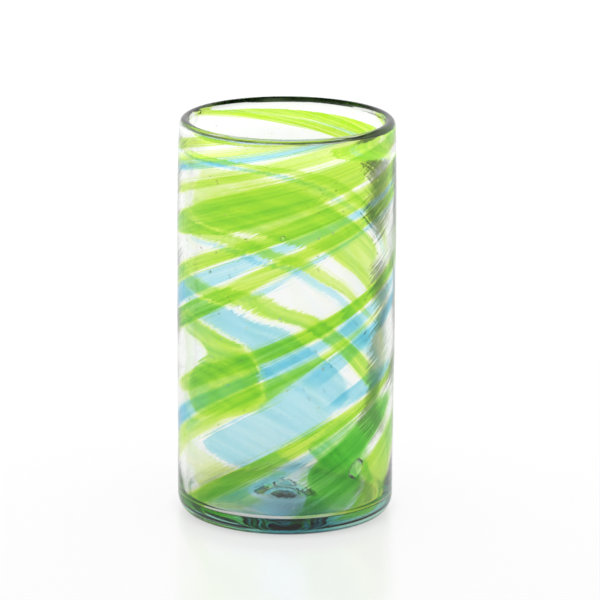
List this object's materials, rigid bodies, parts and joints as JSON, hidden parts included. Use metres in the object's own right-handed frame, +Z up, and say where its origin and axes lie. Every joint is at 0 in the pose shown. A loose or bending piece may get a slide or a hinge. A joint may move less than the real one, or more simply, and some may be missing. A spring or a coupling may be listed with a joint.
{
  "type": "long drink glass",
  "caption": "Tall straight hand-blown drinking glass in clear glass with lime, green and aqua trails twisted up its wall, a fire-polished rim, a heavy rounded foot and a pushed-up pontil mark",
  "frame": {"origin": "centre of the foot, on the plane the glass stands on", "axes": "+Z up the axis of the glass to its rim; the pictured side faces -Y, +X to its right"},
  "size_m": [0.0792, 0.0792, 0.145],
  "materials": {
    "clear": "fire-polished clear glass",
    "smoky": "fire-polished, dark where the glass is thick",
    "lime": "transparent lime glass",
    "green": "transparent green glass",
    "aqua": "transparent aqua glass",
    "teal": "transparent teal glass, deep in the foot"
  },
  "bodies": {
    "root": {"casing": "clear", "inner_gather": "clear", "foot_pool": "teal", "rim_bead": "smoky", "pontil_mark": "smoky", "lime_trail_1": "lime", "lime_trail_2": "lime", "lime_trail_3": "lime", "lime_trail_4": "lime", "lime_trail_5": "lime", "lime_trail_6": "lime", "lime_trail_7": "lime", "lime_trail_8": "lime", "green_trail_1": "green", "green_trail_2": "green", "aqua_trail_1": "aqua", "aqua_trail_2": "aqua", "aqua_trail_3": "aqua", "aqua_trail_4": "aqua", "aqua_trail_5": "aqua", "aqua_trail_6": "aqua", "aqua_trail_7": "aqua", "aqua_trail_8": "aqua"}
  },
  "joints": []
}
